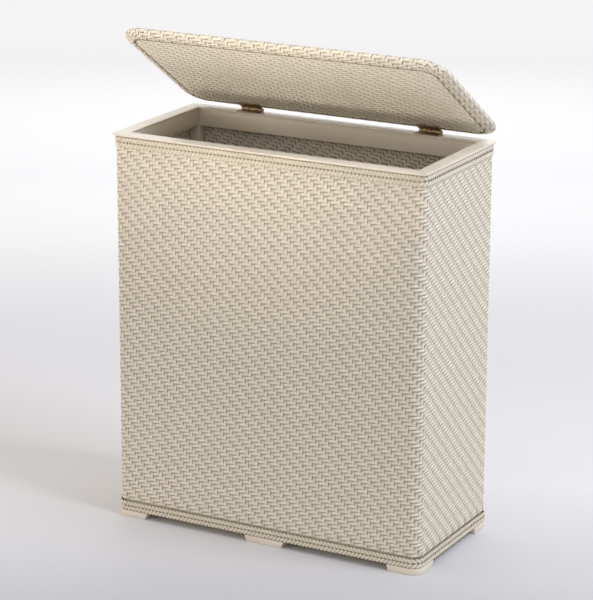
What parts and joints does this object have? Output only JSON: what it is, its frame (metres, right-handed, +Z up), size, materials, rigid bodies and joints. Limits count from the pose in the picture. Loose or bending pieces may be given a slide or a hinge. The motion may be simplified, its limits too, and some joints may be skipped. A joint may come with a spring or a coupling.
{
  "type": "woven laundry hamper",
  "caption": "Upright woven laundry hamper with a wooden frame and rim, low feet and a woven lid that swings on butt hinges.",
  "frame": {"origin": "on the floor under the middle of the body, between the feet", "axes": "+Z up, -Y out of the front, +X to the right as seen from the front; the hinges are along the back at +Y"},
  "size_m": [0.534, 0.2491, 0.7629],
  "materials": {
    "painted_wood": "hardwood in satin cream paint",
    "board": "thin board in cream paint",
    "woven_strand": "flat strands woven in a two by two twill, cream paint",
    "twisted_twine": "twisted twine laid in plaited rows, cream paint",
    "bronze": "dark antique bronze, satin",
    "plated_steel": "bright plated screw"
  },
  "bodies": {
    "hamper": {"base_braid": "twisted_twine", "bottom_board": "board", "bottom_rail_back": "painted_wood", "bottom_rail_front": "painted_wood", "bottom_rail_left": "painted_wood", "bottom_rail_right": "painted_wood", "corner_post_back_left": "painted_wood", "corner_post_back_right": "painted_wood", "corner_post_front_left": "painted_wood", "corner_post_front_right": "painted_wood", "foot_back_left": "painted_wood", "foot_back_middle": "painted_wood", "foot_back_right": "painted_wood", "foot_front_left": "painted_wood", "foot_front_middle": "painted_wood", "foot_front_right": "painted_wood", "hinge_left_pin": "bronze", "hinge_left_rim_leaf": "bronze", "hinge_right_pin": "bronze", "hinge_right_rim_leaf": "bronze", "rim_back": "painted_wood", "rim_front": "painted_wood", "rim_left": "painted_wood", "rim_right": "painted_wood", "rim_screw_left_1": "plated_steel", "rim_screw_left_2": "plated_steel", "rim_screw_right_1": "plated_steel", "rim_screw_right_2": "plated_steel", "top_rail_back": "painted_wood", "top_rail_front": "painted_wood", "top_rail_left": "painted_wood", "top_rail_right": "painted_wood", "upper_braid": "twisted_twine", "woven_wrap": "woven_strand"},
    "lid": {"hinge_left_lid_leaf": "bronze", "hinge_right_lid_leaf": "bronze", "lid_bead": "twisted_twine", "lid_board": "board", "lid_screw_left_1": "plated_steel", "lid_screw_left_2": "plated_steel", "lid_screw_right_1": "plated_steel", "lid_screw_right_2": "plated_steel", "lid_underside_panel": "woven_strand", "lid_woven_skin": "woven_strand"}
  },
  "joints": [
    {"name": "lid_hinge", "type": "hinge", "parent": "hamper", "child": "lid", "pos_m": [0, 0.117, 0.6095], "axis": [-1, 0, 0], "range_deg": [-34.4, 66.4]}
  ]
}
